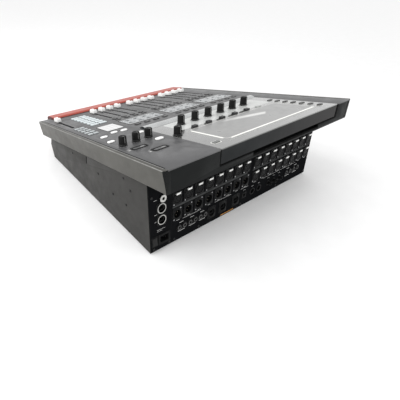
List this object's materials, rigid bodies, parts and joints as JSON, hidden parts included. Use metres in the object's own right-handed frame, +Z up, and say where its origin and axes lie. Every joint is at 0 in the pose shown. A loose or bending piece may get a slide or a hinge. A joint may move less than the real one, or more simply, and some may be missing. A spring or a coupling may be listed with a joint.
{
  "type": "digital mixing desk",
  "caption": "Compact sloping audio mixing desk with motor faders, a tilting touch-screen unit, encoder knobs, lit keys, a padded front rest and a recessed rear connector panel.",
  "frame": {"origin": "centre of the desk's bounding footprint, on the plane the feet stand on", "axes": "+X is the operator's right, +Y points away from the operator towards the connector panel, +Z is up"},
  "size_m": [0.613, 0.5981, 0.2239],
  "materials": {
    "charcoal_paint": "fine textured powder coat",
    "black_panel": "satin black",
    "armrest_red": "satin soft-touch red",
    "black_rubber": "matte",
    "black_plastic": "matte moulded",
    "latch_metal": "bright satin",
    "display_glass": "glossy cover glass",
    "pad_white": "satin white",
    "key_grey": "satin",
    "steel": "plain",
    "circuit_board": "solder-masked board",
    "screen_black": "gloss black moulding"
  },
  "bodies": {
    "chassis": {"base_shell": "charcoal_paint", "rear_panel": "black_panel", "side_cheeks": "charcoal_paint", "top_deck": "charcoal_paint", "slab_pan": "black_panel", "screen_well": "black_panel", "armrest": "armrest_red", "feet": "black_rubber", "screws": "black_panel", "xlr_female": "black_plastic", "xlr_male": "black_plastic", "jack_sockets": "black_plastic", "data_sockets": "black_plastic", "usb_midi_ports": "latch_metal", "mains_inlet": "black_plastic", "channel_displays": "display_glass", "control_display": "pad_white", "fader_units": "steel", "fader_motors": "steel", "knob_encoders": "circuit_board", "key_board": "circuit_board", "hinge_pins": "latch_metal", "power_supply": "steel", "main_board": "circuit_board", "preamp_board": "circuit_board", "heat_sink": "steel"},
    "screen_unit": {"screen_body": "screen_black", "screen_glass": "display_glass", "screen_module": "screen_black"},
    "latches": {"xlr_latches": "latch_metal"},
    "rocker": {"power_rocker": "black_plastic"},
    "grid_key_set": {"grid_keys": "pad_white"},
    "channel_key_set": {"channel_keys": "black_plastic"},
    "main_key_set": {"main_keys": "key_grey"},
    "white_key_set": {"white_keys": "pad_white"},
    "screen_key_set": {"screen_keys": "black_plastic"},
    "menu_key_set": {"menu_keys": "black_plastic"},
    "fader_01": {"fader_cap_01": "pad_white"},
    "fader_02": {"fader_cap_02": "pad_white"},
    "fader_03": {"fader_cap_03": "pad_white"},
    "fader_04": {"fader_cap_04": "pad_white"},
    "fader_05": {"fader_cap_05": "pad_white"},
    "fader_06": {"fader_cap_06": "pad_white"},
    "fader_07": {"fader_cap_07": "pad_white"},
    "fader_08": {"fader_cap_08": "pad_white"},
    "fader_09": {"fader_cap_09": "pad_white"},
    "fader_10": {"fader_cap_10": "pad_white"},
    "fader_11": {"fader_cap_11": "pad_white"},
    "fader_12": {"fader_cap_12": "pad_white"},
    "fader_main": {"fader_cap_main": "pad_white"},
    "encoder_1": {"deck_knob_1": "black_plastic"},
    "encoder_2": {"deck_knob_2": "black_plastic"},
    "encoder_3": {"deck_knob_3": "black_plastic"},
    "screen_encoder_1": {"screen_knob_1": "black_plastic"},
    "screen_encoder_2": {"screen_knob_2": "black_plastic"},
    "screen_encoder_3": {"screen_knob_3": "black_plastic"},
    "screen_encoder_4": {"screen_knob_4": "black_plastic"},
    "screen_encoder_5": {"screen_knob_5": "black_plastic"},
    "screen_encoder_6": {"screen_knob_6": "black_plastic"},
    "screen_encoder_wheel": {"screen_wheel": "black_plastic"}
  },
  "joints": [
    {"name": "screen_tilt", "type": "hinge", "parent": "chassis", "child": "screen_unit", "pos_m": [-0.036, 0.06922, 0.16417], "axis": [1, 0, 0], "range_deg": [0, 35]},
    {"name": "fader_01_slide", "type": "slide", "parent": "chassis", "child": "fader_01", "axis": [0, 0.9776, 0.2106], "range_m": [0, 0.1]},
    {"name": "fader_02_slide", "type": "slide", "parent": "chassis", "child": "fader_02", "axis": [0, 0.9776, 0.2106], "range_m": [0, 0.1]},
    {"name": "fader_03_slide", "type": "slide", "parent": "chassis", "child": "fader_03", "axis": [0, 0.9776, 0.2106], "range_m": [0, 0.1]},
    {"name": "fader_04_slide", "type": "slide", "parent": "chassis", "child": "fader_04", "axis": [0, 0.9776, 0.2106], "range_m": [0, 0.1]},
    {"name": "fader_05_slide", "type": "slide", "parent": "chassis", "child": "fader_05", "axis": [0, 0.9776, 0.2106], "range_m": [0, 0.1]},
    {"name": "fader_06_slide", "type": "slide", "parent": "chassis", "child": "fader_06", "axis": [0, 0.9776, 0.2106], "range_m": [0, 0.1]},
    {"name": "fader_07_slide", "type": "slide", "parent": "chassis", "child": "fader_07", "axis": [0, 0.9776, 0.2106], "range_m": [0, 0.1]},
    {"name": "fader_08_slide", "type": "slide", "parent": "chassis", "child": "fader_08", "axis": [0, 0.9776, 0.2106], "range_m": [0, 0.1]},
    {"name": "fader_09_slide", "type": "slide", "parent": "chassis", "child": "fader_09", "axis": [0, 0.9776, 0.2106], "range_m": [0, 0.1]},
    {"name": "fader_10_slide", "type": "slide", "parent": "chassis", "child": "fader_10", "axis": [0, 0.9776, 0.2106], "range_m": [0, 0.1]},
    {"name": "fader_11_slide", "type": "slide", "parent": "chassis", "child": "fader_11", "axis": [0, 0.9776, 0.2106], "range_m": [0, 0.1]},
    {"name": "fader_12_slide", "type": "slide", "parent": "chassis", "child": "fader_12", "axis": [0, 0.9776, 0.2106], "range_m": [0, 0.1]},
    {"name": "fader_main_slide", "type": "slide", "parent": "chassis", "child": "fader_main", "axis": [0, 0.9776, 0.2106], "range_m": [0, 0.1]},
    {"name": "rocker_tilt", "type": "hinge", "parent": "chassis", "child": "rocker", "pos_m": [0.281, 0.26488, 0.02711], "axis": [1, 0, 0], "range_deg": [-16, 0]},
    {"name": "latch_press", "type": "slide", "parent": "chassis", "child": "latches", "axis": [0, -0.9776, -0.2106], "range_m": [0, 0.0015]},
    {"name": "grid_key_press", "type": "slide", "parent": "chassis", "child": "grid_key_set", "axis": [0, 0.2106, -0.9776], "range_m": [0, 0.001]},
    {"name": "channel_key_press", "type": "slide", "parent": "chassis", "child": "channel_key_set", "axis": [0, 0.2106, -0.9776], "range_m": [0, 0.001]},
    {"name": "main_key_press", "type": "slide", "parent": "chassis", "child": "main_key_set", "axis": [0, 0.2106, -0.9776], "range_m": [0, 0.001]},
    {"name": "white_key_press", "type": "slide", "parent": "chassis", "child": "white_key_set", "axis": [0, 0.2106, -0.9776], "range_m": [0, 0.001]},
    {"name": "screen_key_press", "type": "slide", "parent": "screen_unit", "child": "screen_key_set", "axis": [0, 0.2106, -0.9776], "range_m": [0, 0.001]},
    {"name": "menu_key_press", "type": "slide", "parent": "screen_unit", "child": "menu_key_set", "axis": [0, 0.2106, -0.9776], "range_m": [0, 0.001]},
    {"name": "encoder_1_turn", "type": "hinge", "parent": "chassis", "child": "encoder_1", "pos_m": [0.271, 0.1282, 0.19427], "axis": [0, -0.2106, 0.9776], "continuous": true},
    {"name": "encoder_2_turn", "type": "hinge", "parent": "chassis", "child": "encoder_2", "pos_m": [0.2355, 0.12673, 0.19396], "axis": [0, -0.2106, 0.9776], "continuous": true},
    {"name": "encoder_3_turn", "type": "hinge", "parent": "chassis", "child": "encoder_3", "pos_m": [0.201, 0.12576, 0.19375], "axis": [0, -0.2106, 0.9776], "continuous": true},
    {"name": "screen_encoder_1_turn", "type": "hinge", "parent": "screen_unit", "child": "screen_encoder_1", "pos_m": [0.09, 0.11158, 0.19069], "axis": [0, -0.2106, 0.9776], "continuous": true},
    {"name": "screen_encoder_2_turn", "type": "hinge", "parent": "screen_unit", "child": "screen_encoder_2", "pos_m": [0.044, 0.11158, 0.19069], "axis": [0, -0.2106, 0.9776], "continuous": true},
    {"name": "screen_encoder_3_turn", "type": "hinge", "parent": "screen_unit", "child": "screen_encoder_3", "pos_m": [-0.002, 0.11158, 0.19069], "axis": [0, -0.2106, 0.9776], "continuous": true},
    {"name": "screen_encoder_4_turn", "type": "hinge", "parent": "screen_unit", "child": "screen_encoder_4", "pos_m": [-0.048, 0.11158, 0.19069], "axis": [0, -0.2106, 0.9776], "continuous": true},
    {"name": "screen_encoder_5_turn", "type": "hinge", "parent": "screen_unit", "child": "screen_encoder_5", "pos_m": [-0.094, 0.11158, 0.19069], "axis": [0, -0.2106, 0.9776], "continuous": true},
    {"name": "screen_encoder_6_turn", "type": "hinge", "parent": "screen_unit", "child": "screen_encoder_6", "pos_m": [-0.14, 0.11158, 0.19069], "axis": [0, -0.2106, 0.9776], "continuous": true},
    {"name": "screen_wheel_turn", "type": "hinge", "parent": "screen_unit", "child": "screen_encoder_wheel", "pos_m": [0.156, 0.1673, 0.2027], "axis": [0, -0.2106, 0.9776], "continuous": true}
  ]
}
